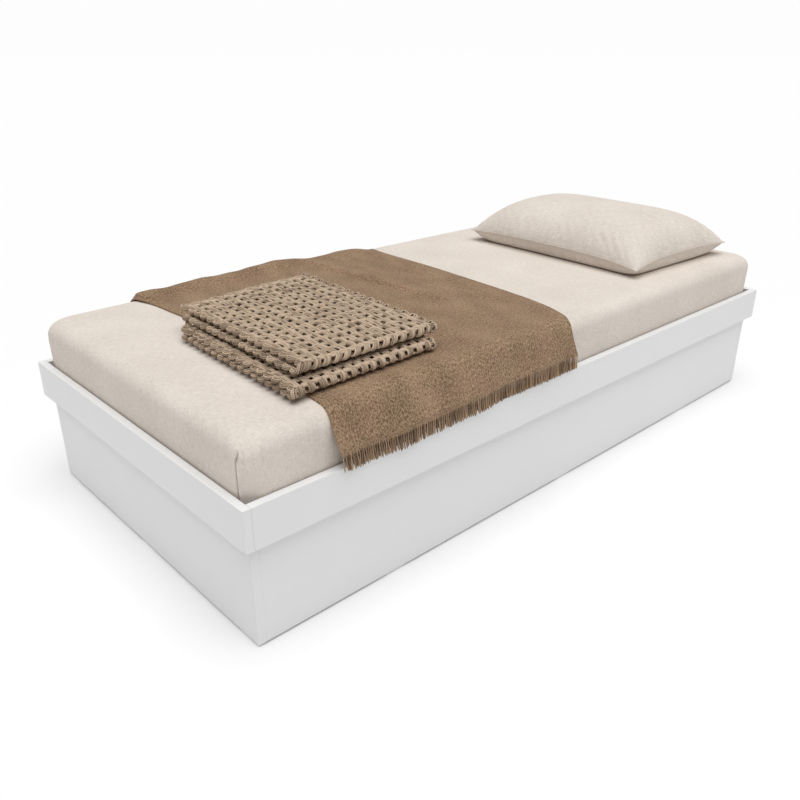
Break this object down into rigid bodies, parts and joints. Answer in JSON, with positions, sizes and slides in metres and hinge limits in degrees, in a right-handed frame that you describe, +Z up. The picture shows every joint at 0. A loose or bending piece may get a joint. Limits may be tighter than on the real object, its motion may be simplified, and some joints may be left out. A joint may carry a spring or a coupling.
{
  "type": "box spring bed",
  "caption": "Single bed: white panel case with a raised rim and a coil-sprung deck inside, mattress in a fitted sheet, pillow, draped throw and folded blanket.",
  "frame": {"origin": "on the floor, under the middle of the bed", "axes": "+X from the foot to the head, -Y the near long side, +Z up"},
  "size_m": [1.94, 0.9785, 0.5824],
  "materials": {
    "white_board": "satin white foil on board",
    "white_glide": "moulded",
    "pine": "planed, unfinished",
    "beech": "turned, unfinished",
    "zinc": "zinc plated",
    "spring_steel": "drawn wire, oiled",
    "felt": "needled felt",
    "deck_cloth": "spunbonded cloth",
    "mattress_foam": "foam in ticking",
    "sheet_linen": "plain weave linen",
    "pillow_fill": "fibre fill in ticking",
    "pillowcase_linen": "plain weave linen",
    "throw_wool": "woven wool",
    "fringe_wool": "twisted wool fringe",
    "blanket_yarn": "crocheted cotton yarn"
  },
  "bodies": {
    "case": {"foot_panel": "white_board", "head_panel": "white_board", "near_panel": "white_board", "far_panel": "white_board", "foot_rim": "white_board", "head_rim": "white_board", "near_rim": "white_board", "far_rim": "white_board", "floor_glides": "white_glide", "near_ledge": "pine", "far_ledge": "pine", "centre_beam": "pine", "base_slat_01": "pine", "base_slat_02": "pine", "base_slat_03": "pine", "base_slat_04": "pine", "base_slat_05": "pine", "base_slat_06": "pine", "base_slat_07": "pine", "base_slat_08": "pine", "base_slat_09": "pine", "base_slat_10": "pine", "corner_dowels": "beech", "beam_legs": "beech", "beam_hangers": "zinc", "cam_locks": "zinc", "cam_bolts": "zinc", "rim_screws": "zinc", "ledge_screws": "zinc", "slat_screws": "zinc", "hanger_screws": "zinc", "spring_row_01": "spring_steel", "spring_row_02": "spring_steel", "spring_row_03": "spring_steel", "spring_row_04": "spring_steel", "spring_row_05": "spring_steel", "spring_row_06": "spring_steel", "spring_row_07": "spring_steel", "spring_row_08": "spring_steel", "spring_row_09": "spring_steel", "spring_row_10": "spring_steel", "leg_pads": "felt"},
    "deck": {"border_wire": "spring_steel", "long_grid_wires": "spring_steel", "cross_grid_wires": "spring_steel", "insulator_pad": "felt", "deck_cover": "deck_cloth"},
    "mattress": {"mattress": "mattress_foam", "fitted_sheet": "sheet_linen"},
    "throw": {"throw": "throw_wool", "throw_fringe": "fringe_wool"},
    "blanket": {"folded_blanket": "blanket_yarn"},
    "pillow": {"pillow": "pillow_fill", "pillowcase": "pillowcase_linen"}
  },
  "joints": [
    {"name": "deck_sink", "type": "slide", "parent": "case", "child": "deck", "axis": [0, 0, 1], "range_m": [-0.025, 0], "stiffness_N_per_m": 60000, "springref_m": 0.03, "deforming": ["spring_row_01", "spring_row_02", "spring_row_03", "spring_row_04", "spring_row_05", "spring_row_06", "spring_row_07", "spring_row_08", "spring_row_09", "spring_row_10"]},
    {"name": "mattress_lift", "type": "slide", "parent": "deck", "child": "mattress", "axis": [0, 0, 1], "range_m": [0, 0.3]},
    {"name": "throw_lift", "type": "slide", "parent": "mattress", "child": "throw", "axis": [0, 0, 1], "range_m": [0, 0.25]},
    {"name": "blanket_lift", "type": "slide", "parent": "throw", "child": "blanket", "axis": [0, 0, 1], "range_m": [0, 0.25]},
    {"name": "pillow_lift", "type": "slide", "parent": "mattress", "child": "pillow", "axis": [0, 0, 1], "range_m": [0, 0.25]}
  ]
}
